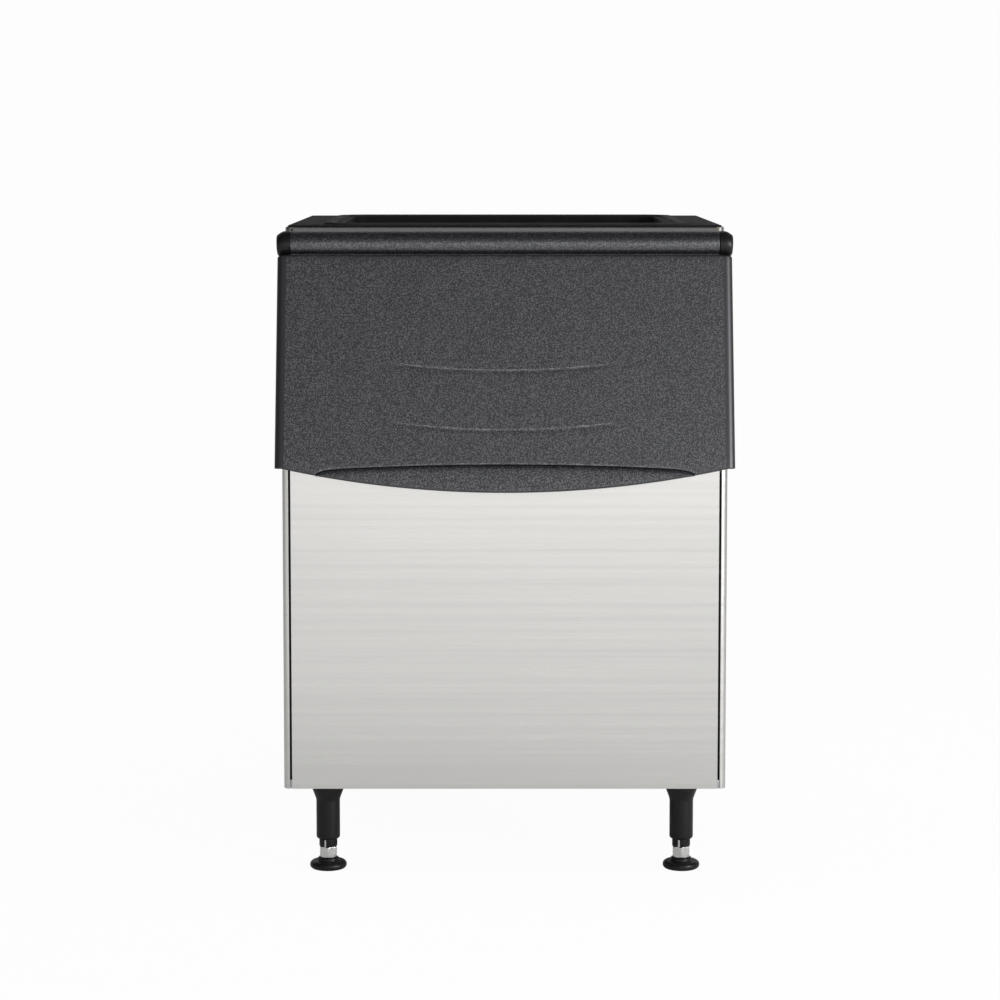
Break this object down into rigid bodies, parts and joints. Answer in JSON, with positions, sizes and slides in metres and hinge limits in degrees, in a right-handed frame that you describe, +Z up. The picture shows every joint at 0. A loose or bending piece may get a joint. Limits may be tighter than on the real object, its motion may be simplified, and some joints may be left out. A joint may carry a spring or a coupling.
{
  "type": "ice storage bin",
  "caption": "Insulated steel cabinet on adjustable legs, with a leaning front, a top-hinged plastic door and an open top that takes an ice machine.",
  "frame": {"origin": "on the floor, at the middle of the footprint of the bin's bounding box", "axes": "+Z up; the door faces -Y; +X is to the right when facing the door"},
  "size_m": [0.786, 0.8591, 1.1256],
  "materials": {
    "stainless": "satin",
    "galvanised": "satin",
    "charcoal_plastic": "matte",
    "black_plastic": "satin",
    "liner_plastic": "satin",
    "foam": "matte",
    "rubber": "matte",
    "nylon": "satin"
  },
  "bodies": {
    "cabinet": {"front_panel": "stainless", "header_panel": "stainless", "left_side_panel": "stainless", "right_side_panel": "stainless", "back_panel": "galvanised", "bottom_panel": "galvanised", "foam_insulation": "foam", "liner": "liner_plastic", "door_frame": "black_plastic", "top_frame": "black_plastic", "top_gasket": "rubber", "hinge_bracket_left": "black_plastic", "hinge_bracket_right": "black_plastic", "hinge_pin_left": "stainless", "hinge_pin_right": "stainless", "hinge_screw_left_1": "stainless", "hinge_screw_left_2": "stainless", "hinge_screw_right_1": "stainless", "hinge_screw_right_2": "stainless", "leg_socket_front_left": "galvanised", "leg_socket_front_right": "galvanised", "leg_socket_rear_left": "galvanised", "leg_socket_rear_right": "galvanised", "leg_sleeve_front_left": "black_plastic", "leg_sleeve_front_right": "black_plastic", "leg_sleeve_rear_left": "black_plastic", "leg_sleeve_rear_right": "black_plastic", "drain_fitting": "black_plastic", "drain_nut": "black_plastic", "drain_strainer": "stainless", "ice_baffle": "stainless", "baffle_knob_left": "black_plastic", "baffle_knob_right": "black_plastic"},
    "door": {"door_shell": "charcoal_plastic", "door_foam": "foam", "door_liner": "liner_plastic", "door_seal": "rubber", "hinge_bush_left": "nylon", "hinge_bush_right": "nylon"},
    "foot_front_left": {"leg_stem_front_left": "stainless", "foot_pad_front_left": "black_plastic"},
    "foot_front_right": {"leg_stem_front_right": "stainless", "foot_pad_front_right": "black_plastic"},
    "foot_rear_left": {"leg_stem_rear_left": "stainless", "foot_pad_rear_left": "black_plastic"},
    "foot_rear_right": {"leg_stem_rear_right": "stainless", "foot_pad_rear_right": "black_plastic"}
  },
  "joints": [
    {"name": "door_hinge", "type": "hinge", "parent": "cabinet", "child": "door", "pos_m": [0, -0.28874, 1.092], "axis": [-1, 0, 0], "range_deg": [0, 165]},
    {"name": "foot_front_left_height", "type": "slide", "parent": "cabinet", "child": "foot_front_left", "axis": [0, 0, -1], "range_m": [0, 0.02]},
    {"name": "foot_front_right_height", "type": "slide", "parent": "cabinet", "child": "foot_front_right", "axis": [0, 0, -1], "range_m": [0, 0.02]},
    {"name": "foot_rear_left_height", "type": "slide", "parent": "cabinet", "child": "foot_rear_left", "axis": [0, 0, -1], "range_m": [0, 0.02]},
    {"name": "foot_rear_right_height", "type": "slide", "parent": "cabinet", "child": "foot_rear_right", "axis": [0, 0, -1], "range_m": [0, 0.02]}
  ]
}
